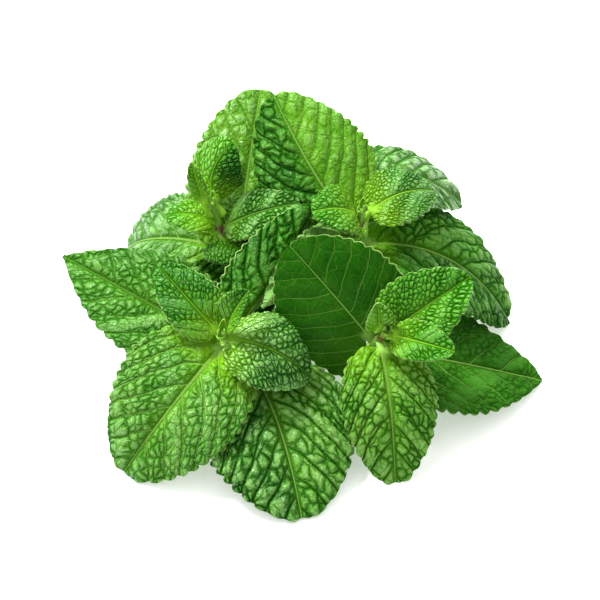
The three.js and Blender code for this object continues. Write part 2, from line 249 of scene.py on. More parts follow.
stem = {
    "mainPath": ((0.014, 0.040, 0.0022), (0.007, 0.022, 0.0022), (0.002, 0.004, 0.0022),
                 (-0.001, -0.008, 0.0022)),
    "mainWidth": 0.0044,
    "shootBaseWidth": 0.003,
    "shootTopWidth": 0.0016,
    "nodeSwell": 0.25,  # how much wider the stem is where a pair of leaves grows
    "nodeLength": 0.0009,
    "tintLength": 0.0019,
    "faceHollow": 0.12,  # how far the four faces sink in, as a share of the half width
    "roundness": 4,  # 2 is a circle, more is nearer a square
    "stepLength": 0.0004,
    "mainSteps": 30,  # from each point of the main path to the next
    "sides": 40,
    "dark": (0.11, 0.28, 0.02, 1),
    "light": (0.22, 0.46, 0.04, 1),
    "brown": (0.13, 0.045, 0.018, 1),  # at the tinted nodes
    "lightness": 0.45,  # 0 dark to 1 light
    "roughness": 0.5,
    "grainRough": 0.3,
    "patchScale": 300.0,
    "grainScale": 2500.0,
}

blade = {
    "spacing": {"grown": 0.00045, "smooth": 0.0006, "young": 0.0003, "bud": 0.00025},  # of the points
    "fewestRows": 16,
    "fewestColumns": 4,  # on each side of the midrib
    "stalkRows": 8,
    "bunching": 0.11,  # how far the rows are drawn towards the base and the tip
    "thickness": 0.0004,
    "ribDepth": 0.00035,  # how far the midrib stands out of the lower face at its base
    "stemGap": 0.00045,  # how far from the stem's side a petiole's edge and then its middle start
    "petioleHalf": 0.0006,
    "petioleThickness": 0.8,  # share of its width
    "stalkFlare": 0.9,  # how much wider the petiole is where it leaves the stem
    "flareLength": 0.0016,
    "petioleSunk": 0.0016,  # how far the petiole's root goes on into the stem
    "tipWidth": 0.0004,
    "widestAt": 0.8,
    "bluntness": 0.48,
    "toothDepth": 0.085,
    "toothPeak": 0.62,
    "toothRoundness": 0.75,
    "lobeBend": 6,  # more keeps the lobes nearer the base
    "halfBlend": 0.002,  # how far from the midrib each half has its own tone and smoothness
    "lift": 0.00035,  # the lowest the middle of a blade lies over the surface
}


def unit(v):
    return v / np.linalg.norm(v, axis=-1, keepdims=True)


def along(curve, share):
    # Points of a quadratic curve at each share, and its direction there
    start, control, end = (np.array(point, float) for point in curve)
    t = np.asarray(share, float)[..., None]
    points = start * (1 - t) ** 2 + control * 2 * t * (1 - t) + end * t ** 2
    heading = (control - start) * 2 * (1 - t) + (end - control) * 2 * t
    return points, unit(heading)


def evenShares(curve, count=400):
    # Maps a share of a curve's length to its parameter, and gives the length
    t = np.linspace(0, 1, count)
    points, _ = along(curve, t)
    steps = np.linalg.norm(np.diff(points, axis=0), axis=1)
    run = np.concatenate([[0], np.cumsum(steps)])
    return (lambda share: np.interp(share, run / run[-1], t)), run[-1]


def shootWidth(share):
    return stem["shootBaseWidth"] + (stem["shootTopWidth"] - stem["shootBaseWidth"]) * share


def leafBase(path, leaf):
    # Where a leaf's petiole starts beside its shoot
    parameter, length = evenShares(path)
    share = 1 - leaf["below"] / length
    node, axis = along(path, parameter(share))
    out = np.array(leaf["tip"]) - node
    out = unit(out - axis * out.dot(axis))
    return node + out * (shootWidth(share) / 2 + blade["stemGap"] + blade["petioleHalf"])


def bladeHalfWidth(leaf, s):
    # Half width with its teeth at share s of the blade
    inside = np.clip(s, 0, 1)
    bluntness = blade["bluntness"] + leaf["point"] * inside ** 2
    smooth = np.sin(np.pi * inside ** blade["widestAt"]) ** bluntness
    phase = (inside * leaf["teeth"]) % 1
    peak = blade["toothPeak"]
    rise = np.sin(np.pi / 2 * np.clip(phase / peak, 0, 1)) ** blade["toothRoundness"]
    fall = np.cos(np.pi / 2 * np.clip((phase - peak) / (1 - peak), 0, 1)) ** blade["toothRoundness"]
    tooth = np.where(phase < peak, rise, fall)
    return leaf["width"] / 2 * smooth * (1 - blade["toothDepth"] * (1 - tooth))


def leafGrid(base, leaf):
    # The middle surface of a leaf as rows and columns of points, what the relief and the material need to
    # know at each, and the length of the blade
    tip, face = np.array(leaf["tip"]), np.array(leaf["face"], float)
    chord = tip - base
    length = np.linalg.norm(chord)
    ahead = chord / length
    up = unit(face - ahead * face.dot(ahead))
    control = base + chord * leaf["bend"] + up * 2 * leaf["arch"] + np.cross(ahead, up) * 2 * leaf["sway"]
    petiole = leaf["petiole"]
    spacing = blade["spacing"][leaf["look"]]
    rows = max(int(length * (1 - petiole) / spacing), blade["fewestRows"])
    columns = 2 * max(int(leaf["width"] / spacing / 2), blade["fewestColumns"]) + 1
    q = np.linspace(0, 1, rows)
    s = q - blade["bunching"] * np.sin(2 * np.pi * q)
    stalk = np.linspace(-blade["petioleSunk"] / length, petiole, blade["stalkRows"])[:-1]
    t = np.concatenate([stalk, petiole + (1 - petiole) * s])
    s = (t - petiole) / (1 - petiole)
    centre, tangent = along((base, control, tip), t)
    normal = unit(face - tangent * (tangent @ face)[:, None])
    across = np.cross(tangent, normal)
    flare = 1 + blade["stalkFlare"] * np.exp(-np.maximum(t * length, 0) / blade["flareLength"])
    half = np.maximum(bladeHalfWidth(leaf, s), leaf["stalkWidth"] / 2 * flare)
    half[-1] = blade["tipWidth"] / 2
    back = leaf["lobes"] * half * np.where(s > 0, np.clip(1 - s, 0, 1) ** blade["lobeBend"], 0)
    half, back = half[:, None], back[:, None]
    v = np.linspace(-1, 1, columns)
    fold, curl = math.radians(leaf["fold"]), math.radians(leaf["curl"])
    out = (np.sin(fold + curl * abs(v)) - math.sin(fold)) / curl * np.sign(v)
    rise = (math.cos(fold) - np.cos(fold + curl * abs(v))) / curl
    points = (centre[:, None] - tangent[:, None] * (back * v ** 2)[..., None]
              + across[:, None] * (half * out)[..., None] + normal[:, None] * (half * rise)[..., None])
    points[..., 2] = np.maximum(points[..., 2], blade["lift"])
    bladeLength = length * (1 - petiole)
    fromBase = (s * bladeLength)[:, None]
    side = np.clip(half * v / blade["halfBlend"], -1, 1)
    measures = {
        "across": half * v,
        "along": fromBase - back * v ** 2,
        "fromBase": fromBase + 0 * v,
        "span": np.abs(v) + 0 * half,
        # the leaf's tone with painted light and shade, one half painted lighter and the other darker
        "toneAndLight": leaf["toneAndLight"] + leaf["paintedHalfLight"] * side,
        "smooth": leaf["smooth"][0] * (1 - side) / 2 + leaf["smooth"][1] * (1 + side) / 2,
        **{key: leaf[key] + 0 * side for key in ("glow", "pale", "rib", "rim", "paintedSheen")},
    }
    return points, measures, bladeLength


def smoothMesh(name, vertices, faces):
    mesh = bpy.data.meshes.new(name)
    mesh.from_pydata(vertices.tolist(), [], faces)
    mesh.polygons.foreach_set("use_smooth", np.ones(len(faces), bool))
    return mesh


def addMeasure(mesh, name, values):
    mesh.attributes.new(name, "FLOAT", "POINT").data.foreach_set("value", values.astype(np.float32))


def leafSheet(name, points, measures):
    # A closed mesh with both faces of the leaf still on its middle surface, and its measures as attributes
    rows, columns = points.shape[:2]
    count = rows * columns
    index = np.arange(count).reshape(rows, columns)
    corner = [index[:-1, :-1], index[:-1, 1:], index[1:, 1:], index[1:, :-1]]
    top = np.stack([c.ravel() for c in corner], axis=1)
    bottom = top[:, ::-1] + count
    loop = np.concatenate([index[0, :-1], index[:-1, -1], index[-1, :0:-1], index[:0:-1, 0]])
    following = np.roll(loop, -1)
    rim = np.stack([following, loop, loop + count, following + count], axis=1)
    faces = np.concatenate([top, bottom, rim]).tolist()
    mesh = smoothMesh(name, np.tile(points.reshape(-1, 3), (2, 1)), faces)
    for key, values in measures.items():
        addMeasure(mesh, key, np.tile(values.ravel(), 2))
    addMeasure(mesh, "side", np.repeat([1.0, -1.0], count))
    normals = unit(np.cross(np.gradient(points, axis=1), np.gradient(points, axis=0)))
    outward = mesh.attributes.new("outward", "FLOAT_VECTOR", "POINT")
    outward.data.foreach_set("vector", np.tile(normals.ravel(), 2).astype(np.float32))
    return mesh


class Wire:
    # A socket in a node tree. Sums, products and so on with it each add a Math node.
    def __init__(self, tree, socket):
        self.tree, self.socket = tree, socket

    def math(self, operation, *others):
        return addNode(self.tree, "ShaderNodeMath", (self,) + others, operation=operation)

    def __add__(self, other):
        return self.math("ADD", other)

    def __sub__(self, other):
        return self.math("SUBTRACT", other)

    def __mul__(self, other):
        return self.math("MULTIPLY", other)

    def __truediv__(self, other):
        return self.math("DIVIDE", other)

    __radd__, __rmul__ = __add__, __mul__

    def __rsub__(self, other):
        return self * -1 + other

    def least(self, other):
        return self.math("MINIMUM", other)

    def most(self, other):
        return self.math("MAXIMUM", other)

    def power(self, other):
        return self.math("POWER", other)

    def clipped(self):
        return self.most(0).least(1)

    def ramp(self, low, high, fromValue=0.0, toValue=1.0):
        # Smooth step between two values of this wire
        return addNode(self.tree, "ShaderNodeMapRange", (self, low, high, fromValue, toValue),
                       interpolation_type="SMOOTHSTEP")

    def fade(self, reach, strength=1.0):
        # Falls smoothly from this strength at 0 to nothing at the reach
        return self.ramp(0.0, reach, strength, 0.0)

    def pillow(self, reach):
        # Rises steeply from 0 at an edge and levels off at 1 when it is this far from it
        short = 1 - (self / reach).clipped()
        return 1 - short * short


def connect(value, socket):
    if isinstance(value, Wire):
        value.tree.links.new(value.socket, socket)
    else:
        socket.default_value = value


def addNode(tree, kind, inputs=(), output=0, **settings):
    # Adds a node, fills its inputs, given in order or by name, and gives a wire from one of its outputs
    node = tree.nodes.new(kind)
    for key, value in settings.items():
        setattr(node, key, value)
    for key, value in inputs.items() if isinstance(inputs, dict) else enumerate(inputs):
        connect(value, node.inputs[key])
    return Wire(tree, node.outputs[output])


def combine(tree, x, y, z=0.0):
    return addNode(tree, "ShaderNodeCombineXYZ", (x, y, z))


def separate(tree, vector):
    split = tree.nodes.new("ShaderNodeSeparateXYZ")
    connect(vector, split.inputs[0])
    return [Wire(tree, socket) for socket in split.outputs]


def treeInputs(tree, kinds):
    # Adds named inputs to a geometry tree. Gives a wire from each, and each one's identifier.
    identifiers = {}
    for way in ("INPUT", "OUTPUT"):
        tree.interface.new_socket("Geometry", in_out=way, socket_type="NodeSocketGeometry")
    for name, kind in kinds.items():
        item = tree.interface.new_socket(name, in_out="INPUT", socket_type="NodeSocket" + kind)
        identifiers[name] = item.identifier
    entry = tree.nodes.new("NodeGroupInput")
    return {socket.name: Wire(tree, socket) for socket in entry.outputs if socket.name}, identifiers


def readAttribute(tree, name, kind="FLOAT"):
    return addNode(tree, "GeometryNodeInputNamedAttribute", {"Name": name}, "Attribute", data_type=kind)


def noise(tree, vector, scale, detail=2.0):
    # Centred on 0, from about -0.5 to 0.5
    return addNode(tree, "ShaderNodeTexNoise", {"Vector": vector, "Scale": scale, "Detail": detail}) - 0.5


def cellEdgeDistance(tree, x, y, size, finer=1):
    # Distance to the nearest edge between irregular cells of this size, or of cells so many times smaller
    inputs = {"Vector": combine(tree, x * finer, y * finer), "Scale": 1.0, "Randomness": 0.9}
    toEdge = addNode(tree, "ShaderNodeTexVoronoi", inputs, "Distance", voronoi_dimensions="2D",
                     feature="DISTANCE_TO_EDGE")
    return toEdge * size / finer


# How the veins and cells of every leaf lie and stand out. Lengths are metres.
relief = {
    "lobeBlade": (0.001, 0.0025),  # this far from the midrib the leaf is blade beside the petiole too
    "midribTip": 0.4,  # half width of the midrib at the tip, in vein widths
    "midribBase": 1.3,  # how much more that is at the base
    "wanderScale": 60.0,  # slow and quick wobble of the side veins, in strips
    "wanderSize": 0.9,
    "tremorScale": 260.0,
    "tremorSize": 0.22,
    "wanderFrom": 0.006,  # how far from the midrib they wobble fully
    "veinOffset": 0.2,  # how many strips the veins of one half are ahead, and of the other half behind
    "acrossSlant": 0.8,  # how near a slanting vein is, as a share of its distance along the leaf
    "slantAt": 0.6,  # where across a half the cells take their slant from
    "cellScale": 300.0,  # wobble of the cells, in cells
    "cellWobble": 1.7,
    "cellLength": 0.75,  # their width as a share of their length
    "halfShift": 31.7,  # these keep the noises apart
    "cellShift": 7.3,
    "faintShift": 3.1,
    "faintScale": 260.0,
    "faintFrom": (-0.08, 0.2),  # values of that noise between which furrows vanish
    "faintLift": 0.28,  # how far a furrow that nearly vanishes stays from the bottom, in cells
    "finer": 2.3,  # how many times smaller the finest cells are
    "cellRound": 0.55,  # how far from its edge a cell is level, in cells, and a finer one
    "fineRound": 0.2,
    "quiltFrom": 0.006,  # how far from the midrib the quilting is full, and how much there is at it
    "quiltAtMidrib": 0.35,
    "smoothing": 0.85,  # how much of its quilting a smooth half loses
    "stripRound": 0.4,  # how far from a vein a strip is level, in strips
    "stripFrom": 0.003,
    "marginFall": (-0.0004, 0.001),  # from the margin, where the relief begins and is full
    "valleyHalf": 0.0022,  # of the valley that the midrib lies in
    "midribHeight": 0.6,  # share of its half width
    "rippleScale": 75.0,
    "marginThickness": 0.35,  # share of the blade's, and how far in it is full
    "marginTaper": 0.0005,
    "ribHalf": 0.0009,  # half widths of the midrib and the side veins below, and how far these stand out
    "underVeinHalf": 0.0005,
    "underVeinHeight": 0.00012,
}


# Relief and veins of each look. Heights are of the relief's highest places.
lookNames = ["grown", "smooth", "young", "bud"]
looks = {
    "Vein pairs": (5.5, 6.0, 6.0, 4.0),
    "Vein lean": (0.85, 0.5, 0.7, 0.8),
    "Vein arch": (0.65, 0.25, 0.4, 0.3),
    "Vein width": (0.00045, 0.00022, 0.0003, 0.00012),
    "Vein fade": (1.0, 1.0, 3.0, 1.0),
    "Strip height": (0.0007, 0.0003, 0.0001, 0.00005),
    "Cell size": (0.0029, 0.0034, 0.0013, 0.0006),
    "Quilt height": (0.0006, 0.0003, 0.0005, 0.00008),
    "Pucker": (0.22, 0.0, 0.15, 0.0),
    "Ripple height": (0.0016, 0.0014, 0.0008, 0.0),
    "Midrib valley": (0.0004, 0.0003, 0.0003, 0.00005),
}


def midribHalfWidth(veinWidth, taper):
    return veinWidth * (relief["midribTip"] + relief["midribBase"] * taper)


def distanceToVein(order, stripWidth):
    # To the nearest side vein, where order is 0, 1, 2 and so on
    place = order - order.math("FLOOR")
    return place.least(1 - place) * stripWidth * relief["acrossSlant"]


def distanceToFurrow(toCell, faint, cellSize, toVein, fromMidrib):
    # To the nearest cell edge, side vein or midrib
    return (toCell + faint * cellSize * relief["faintLift"]).least(toVein).least(fromMidrib)


def quiltTree():
    # Turns a flat leaf sheet into a quilted blade with its veins, on both faces
    tree = bpy.data.node_groups.new("quiltedLeaf", "GeometryNodeTree")
    tree.is_modifier = True
    kinds = dict.fromkeys(["Length", "Half width", *looks, "Thickness", "Petiole thickness",
                           "Petiole blend", "Rib depth", "Seed"], "Float")
    kinds["Material"] = "Material"
    given, identifiers = treeInputs(tree, kinds)
    across, alongLeaf, fromBase, span, side, smooth = (
        readAttribute(tree, name) for name in ("across", "along", "fromBase", "span", "side", "smooth"))
    outward = readAttribute(tree, "outward", "FLOAT_VECTOR")
    cellSize = given["Cell size"]
    away = across.math("ABSOLUTE")
    half = across.math("SIGN")
    plane = combine(tree, across + given["Seed"], alongLeaf, given["Seed"])
    inBlade = fromBase.ramp(0.0, given["Petiole blend"]).most(away.ramp(*relief["lobeBlade"]))
    taper = (1 - fromBase / given["Length"]).clipped()
    midribHalf = midribHalfWidth(given["Vein width"], taper)

    # Side veins leave the midrib at a slant and arch on towards the tip
    reach = away * given["Vein lean"] + away * away * given["Vein arch"] / given["Half width"]
    wander = (noise(tree, plane, relief["wanderScale"], 1.0) * relief["wanderSize"]
              + noise(tree, plane, relief["tremorScale"]) * relief["tremorSize"])
    stripWidth = given["Length"] / given["Vein pairs"]
    order = ((alongLeaf - reach) / stripWidth + half * relief["veinOffset"]
             + wander * away.ramp(0.0, relief["wanderFrom"]))
    toVein = distanceToVein(order, stripWidth)

    # Cells of the finer veins between them, in rows along the side veins
    slant = given["Vein lean"] + given["Vein arch"] * relief["slantAt"]
    cosine = (slant * slant + 1).power(-0.5)
    wobble = [noise(tree, spot, relief["cellScale"], 3.0) * relief["cellWobble"]
              for spot in (plane, plane + relief["cellShift"])]
    cellX = order * stripWidth * cosine / cellSize + wobble[0] + half * relief["halfShift"]
    cellY = ((away + slant * alongLeaf) * cosine * relief["cellLength"] / cellSize + wobble[1]
             + given["Seed"])
    toCell = cellEdgeDistance(tree, cellX, cellY, cellSize)
    toFine = cellEdgeDistance(tree, cellX, cellY, cellSize, relief["finer"])
    faint = noise(tree, plane + relief["faintShift"], relief["faintScale"], 1.0).ramp(*relief["faintFrom"])
    edge = distanceToFurrow(toCell, faint, cellSize, toVein * given["Vein fade"],
                            (away - midribHalf).most(0))
    bump = (edge.pillow(cellSize * relief["cellRound"])
            + toFine.pillow(cellSize * relief["fineRound"]) * given["Pucker"])
    bump = bump * away.ramp(0.0, relief["quiltFrom"], relief["quiltAtMidrib"], 1.0)
    bump = bump * (1 - smooth * relief["smoothing"])
    strip = toVein.pillow(stripWidth * relief["stripRound"]) * away.ramp(0.0, relief["stripFrom"])
    toMargin = (1 - span) * given["Half width"]
    atMargin = toMargin.ramp(*relief["marginFall"])
    valley = (away.fade(relief["valleyHalf"]) * given["Midrib valley"]
              - away.fade(midribHalf) * midribHalf * relief["midribHeight"])
    ripple = noise(tree, plane, relief["rippleScale"], 1.0) * span.power(2.0) * given["Ripple height"]
    height = (bump * given["Quilt height"] * atMargin + strip * given["Strip height"] + ripple
              - valley) * inBlade

    # The two faces part by the blade's thickness. The petiole is round and runs on as a rib below.
    roundness = (1 - span * span).most(0).math("SQRT")
    atEdge = relief["marginThickness"]
    thinning = atEdge + (1 - atEdge) * toMargin.ramp(0.0, relief["marginTaper"])
    depth = (given["Thickness"] * thinning / 2 * inBlade
             + given["Petiole thickness"] / 2 * roundness * (1 - inBlade))
    below = side.least(0) * -1
    rib = below * given["Rib depth"] * taper * away.fade(relief["ribHalf"]) * inBlade
    vein = below * toVein.fade(relief["underVeinHalf"], relief["underVeinHeight"])
    vein = vein * inBlade * atMargin
    move = addNode(tree, "ShaderNodeVectorMath",
                   {0: outward, "Scale": side * depth + height - rib - vein}, operation="SCALE")
    geometry = addNode(tree, "GeometryNodeSetPosition", {"Geometry": given["Geometry"], "Offset": move})
    x, y, z = separate(tree, addNode(tree, "GeometryNodeInputPosition"))
    position = combine(tree, x, y, z.most(lowest))  # nothing goes below the surface that it lies on
    geometry = addNode(tree, "GeometryNodeSetPosition", {"Geometry": geometry, "Position": position})

    # What the material reads to draw the same veins and cells finer than the mesh
    stored = {
        "order": order, "away": away, "toMargin": toMargin, "taper": taper, "inBlade": inBlade,
        "cellX": cellX, "cellY": cellY, "strip": stripWidth, "cell": cellSize,
        "veinFade": given["Vein fade"], "quilt": given["Quilt height"], "pucker": given["Pucker"],
        "veinWidth": given["Vein width"], "faint": faint, "underside": below,
    }
    for name, value in stored.items():
        geometry = addNode(tree, "GeometryNodeStoreNamedAttribute",
                           {"Geometry": geometry, "Name": name, "Value": value},
                           data_type="FLOAT", domain="POINT")
    geometry = addNode(tree, "GeometryNodeRealizeInstances", (geometry,))
    inputs = {"Geometry": geometry, "Material": given["Material"]}
    connect(addNode(tree, "GeometryNodeSetMaterial", inputs), tree.nodes.new("NodeGroupOutput").inputs[0])
    return tree, identifiers


def bakedLeaf(name, base, leaf, tree, identifiers, material):
    # The leaf's mesh with its relief made, ready to be one piece
    points, measures, length = leafGrid(base, leaf)
    rough = addObject(name, leafSheet(name + "Sheet", points, measures))
    modifier = rough.modifiers.new("quilt", "NODES")
    modifier.node_group = tree
    values = {
        "Length": float(length),
        "Half width": leaf["width"] / 2,
        "Thickness": blade["thickness"],
        "Petiole thickness": leaf["stalkWidth"] * blade["petioleThickness"],
        "Petiole blend": leaf["stalkBlend"],
        "Rib depth": blade["ribDepth"],
        "Seed": float(leaf["seed"]),
        "Material": material,
        **{key: byLook[lookNames.index(leaf["look"])] for key, byLook in looks.items()},
    }
    values["Cell size"] *= leaf["cells"]
    for key, value in values.items():
        modifier[identifiers[key]] = value
    evaluated = rough.evaluated_get(bpy.context.evaluated_depsgraph_get())
    mesh = bpy.data.meshes.new_from_object(evaluated)
    mesh.name = name
    rough.modifiers.remove(modifier)
    sheet = rough.data
    rough.data = mesh
    bpy.data.meshes.remove(sheet)
    mesh.transform(moved)
    return rough


def mixColour(tree, factor, first, second):
    # The node's sockets 6, 7 and 2 are the two colours and their mix
    return addNode(tree, "ShaderNodeMix", {"Factor": factor, 6: first, 7: second}, 2, data_type="RGBA")


def shaderAttribute(tree, name):
    return addNode(tree, "ShaderNodeAttribute", (), "Fac", attribute_name=name)


def newMaterial(name, inputs={}):
    # A material, its node tree and its shader, with these inputs set
    material = bpy.data.materials.new(name)
    material.use_nodes = True
    shader = material.node_tree.nodes["Principled BSDF"]
    for key, value in inputs.items():
        connect(value, shader.inputs[key])
    return material, material.node_tree, shader


def patchesAndGrain(tree, scales):
    place = addNode(tree, "ShaderNodeTexCoord", (), "Object")
    return noise(tree, place, scales["patchScale"], 3.0), noise(tree, place, scales["grainScale"])


# Colours are linear. gloss is the shine of the cells' tops, and sideLine how dark the side veins are
# painted, as shade in their furrows. The pale greyish colour for the cells' tops is painted sheen, and the
# darkest one for the furrows is painted shade with some of the veins' darker green.
green = {
    "grown": {
        "dark": (0.002, 0.048, 0.0008, 1), "middle": (0.031, 0.155, 0.004, 1),
        "light": (0.115, 0.285, 0.015, 1), "vein": (0.29, 0.52, 0.1, 1),
        "grooveShade": (0.001, 0.03, 0.0005, 1), "glow": (0.17, 0.4, 0.005, 1),
        "paintedSheen": (0.19, 0.38, 0.095, 1), "roughness": 0.3, "gloss": 0.0, "sideLine": 0.35},
    "young": {
        "dark": (0.002, 0.06, 0.0006, 1), "middle": (0.033, 0.19, 0.003, 1),
        "light": (0.1, 0.32, 0.01, 1), "vein": (0.26, 0.52, 0.04, 1),
        "grooveShade": (0.001, 0.04, 0.0005, 1), "glow": (0.21, 0.43, 0.005, 1),
        "paintedSheen": (0.24, 0.48, 0.12, 1), "roughness": 0.24, "gloss": 0.3, "sideLine": 0.0},
    "under": (0.21, 0.42, 0.1, 1),
    "underDark": (0.065, 0.18, 0.028, 1),
    "underVein": (0.36, 0.56, 0.2, 1),
    "rim": (0.42, 0.56, 0.16, 1),
}

# How the colours lie on a leaf
finish = {
    "patchScale": 90.0,  # lighter and darker patches, and the grain of the hairs
    "grainScale": 1600.0,
    "crownRound": 0.45,  # how far from its edge a cell's top is level, in cells
    "veinTip": 0.25,  # half width of a side vein's line at the leaf's tip, in vein widths
    "sharp": 0.3,  # share of a line's half width that has its full colour
    "midribLine": 0.8,  # share of the midrib that is pale
    "fineVeinHalf": 0.00018,
    "grooveDepth": 1.6,  # more keeps the painted shade of a groove nearer its bottom
    "grooveFrom": 0.0005,
    "grooveShadeStrength": 0.8,
    "grooveFade": 0.6,  # how much of it goes where veins are pale
    "toneShare": 0.9,  # what the shade of green is made of, painted light on the cells' tops among it
    "paintedCrownLight": 0.3,
    "patchShare": (0.45, 0.25),  # on smooth leaves, and how much more on quilted ones
    "grainShare": 0.3,
    "darker": 0.15,
    "paintedSheenEdge": (0.15, 0.5),  # distance from a cell's edge where the painted sheen begins and is full, in cells
    "paintedSheenInGroove": 0.1,
    "paintedSheenGrain": 0.6,
    "paintedSheenUneven": (1.2, 3, 2.5),  # everywhere, by patches and by grain
    "glowReach": 0.014,  # how far the yellower base reaches
    "glowByMidrib": (0.006, 0.35),  # how far from the midrib it goes, and how strong it is there
    "fineLine": 0.3,  # how pale the finer veins are on a smooth leaf, and below
    "fineLineBelow": 0.4,
    "grainBelow": 0.4,
    "rimWidth": 0.00035,
    "bumpShare": 0.7,  # share of the quilting's height that is drawn again in the shading
    "smoothBump": 0.3,  # how much of that a smooth leaf keeps
    "grainHeight": 0.00006,
    "fineVeinDepth": 0.00004,
    "grainRough": 0.15,
    "roughBelow": 0.25,  # how much rougher the lower face is
    "dullGloss": 0.02,
    "waxGloss": 0.9,
}


def leafMaterial(name, colours):
    material, tree, shader = newMaterial(name, {
        "IOR": 1.4, "Subsurface Weight": 0.2, "Subsurface Radius": (0.3, 1.0, 0.1),
        "Subsurface Scale": 0.0008})
    read = {key: shaderAttribute(tree, key) for key in (
        "toneAndLight", "glow", "smooth", "pale", "rib", "rim", "paintedSheen", "order", "away", "toMargin", "taper",
        "inBlade", "cellX", "cellY", "strip", "cell", "quilt", "pucker", "veinFade", "veinWidth",
        "fromBase", "faint", "underside")}
    away, taper, inBlade, cellSize = read["away"], read["taper"], read["inBlade"], read["cell"]
    patches, grain = patchesAndGrain(tree, finish)

    # The same veins and cells as in the relief
    toVein = distanceToVein(read["order"], read["strip"])
    toCell = cellEdgeDistance(tree, read["cellX"], read["cellY"], cellSize)
    toFine = cellEdgeDistance(tree, read["cellX"], read["cellY"], cellSize, relief["finer"])
    midribHalf = midribHalfWidth(read["veinWidth"], taper)
    fromRib = (away - midribHalf).most(0)
    edge = distanceToFurrow(toCell, read["faint"], cellSize, toVein * read["veinFade"], fromRib)
    crown = edge.pillow(cellSize * finish["crownRound"])
    quilted = 1 - read["smooth"]
    veinHalf = read["veinWidth"] * (finish["veinTip"] + (1 - finish["veinTip"]) * taper)
    sideVein = toVein.ramp(veinHalf * finish["sharp"], veinHalf, 1.0, 0.0) * inBlade
    fineVein = toCell.fade(finish["fineVeinHalf"]) * inBlade
    midrib = away.ramp(midribHalf * finish["sharp"], midribHalf * finish["midribLine"], 1.0, 0.0)
    midrib = midrib.most(1 - inBlade)
    # How deep in a furrow each place is, for the shade painted there
    grooveShade = (1 - crown).power(finish["grooveDepth"]) * inBlade * quilted
    grooveShade = grooveShade * fromRib.ramp(0.0, finish["grooveFrom"])

    # The upper face
    smoothPatches, quiltPatches = finish["patchShare"]
    # The tops of the cells are painted lighter than their edges, as light falls on them
    shade = (read["toneAndLight"] * finish["toneShare"] + crown * quilted * finish["paintedCrownLight"]
             + patches * (smoothPatches + quiltPatches * quilted) + grain * finish["grainShare"]
             - finish["darker"])
    upper = mixColour(tree, (shade * 2).clipped(), colours["dark"], colours["middle"])
    upper = mixColour(tree, (shade * 2 - 1).clipped(), upper, colours["light"])
    # Painted sheen: a pale greyish colour on the tops of the cells stands in for the light they reflect
    crest = (edge / cellSize + grain * finish["paintedSheenGrain"]).ramp(*finish["paintedSheenEdge"])
    even, byPatch, byGrain = finish["paintedSheenUneven"]
    paintedSheenAmount = (finish["paintedSheenInGroove"] + (1 - finish["paintedSheenInGroove"]) * crest) * read["paintedSheen"]
    paintedSheenAmount = paintedSheenAmount * (even + patches * byPatch + grain * byGrain).most(0)
    upper = mixColour(tree, paintedSheenAmount.least(1), upper, colours["paintedSheen"])
    # Painted shade: the furrows between the cells and the sunken side veins are darkened where shade falls
    # in them, with some of the veins' own darker green
    grooveShadeAmount = grooveShade * finish["grooveShadeStrength"] * (1 - read["pale"] * finish["grooveFade"])
    sideVeinShade = sideVein * colours["sideLine"] * (1 - read["pale"])
    upper = mixColour(tree, grooveShadeAmount.most(sideVeinShade), upper, colours["grooveShade"])
    nearRib = away.fade(*finish["glowByMidrib"]) * taper
    glow = (read["fromBase"] / finish["glowReach"]).fade(1.0).most(nearRib)
    upper = mixColour(tree, glow * read["glow"], upper, colours["glow"])
    lines = sideVein.most(fineVein * finish["fineLine"] * read["smooth"]) * read["pale"]
    lines = lines.most(midrib * read["rib"])
    upper = mixColour(tree, lines, upper, colours["vein"])
    margin = read["toMargin"].fade(finish["rimWidth"]) * inBlade
    upper = mixColour(tree, margin * read["rim"], upper, green["rim"])

    # The lower face is paler, with raised veins
    # Where the tone is low the lower face is painted darker, partly as shade
    below = (read["toneAndLight"] + patches + grain * finish["grainBelow"]).clipped()
    under = mixColour(tree, below, green["underDark"], green["under"])
    raised = sideVein.most(midrib).most(fineVein * finish["fineLineBelow"])
    under = mixColour(tree, raised.least(1), under, green["underVein"])
    under = mixColour(tree, glow * read["glow"], under, colours["glow"])
    connect(mixColour(tree, read["underside"], upper, under), shader.inputs["Base Color"])

    rough = colours["roughness"] + grain * finish["grainRough"] + read["underside"] * finish["roughBelow"]
    connect(rough, shader.inputs["Roughness"])
    gloss = finish["dullGloss"] + (read["paintedSheen"] * finish["waxGloss"] + colours["gloss"]) * crown * crown
    connect(gloss, shader.inputs["Specular IOR Level"])
    smoothBump = finish["smoothBump"]
    height = (crown * read["quilt"] * finish["bumpShare"] * (smoothBump + (1 - smoothBump) * quilted)
              + toFine.pillow(cellSize * relief["fineRound"]) * read["quilt"] * read["pucker"])
    height = height + grain * finish["grainHeight"] - fineVein * finish["fineVeinDepth"]
    height = height * inBlade * (1 - read["underside"] * 2)  # the lower face sinks where the upper one rises
    bump = addNode(tree, "ShaderNodeBump", {"Strength": 1.0, "Distance": 1.0, "Height": height}, "Normal")
    connect(bump, shader.inputs["Normal"])
    return material


def stemMaterial():
    material, tree, shader = newMaterial("stem")
    tint = shaderAttribute(tree, "node")
    patches, grain = patchesAndGrain(tree, stem)
    flesh = mixColour(tree, (stem["lightness"] + patches).clipped(), stem["dark"], stem["light"])
    connect(mixColour(tree, tint.least(1), flesh, stem["brown"]), shader.inputs["Base Color"])
    connect(grain * stem["grainRough"] + stem["roughness"], shader.inputs["Roughness"])
    return material


def finishPiece(piece, node):
    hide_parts(node)
    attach(piece, "root")


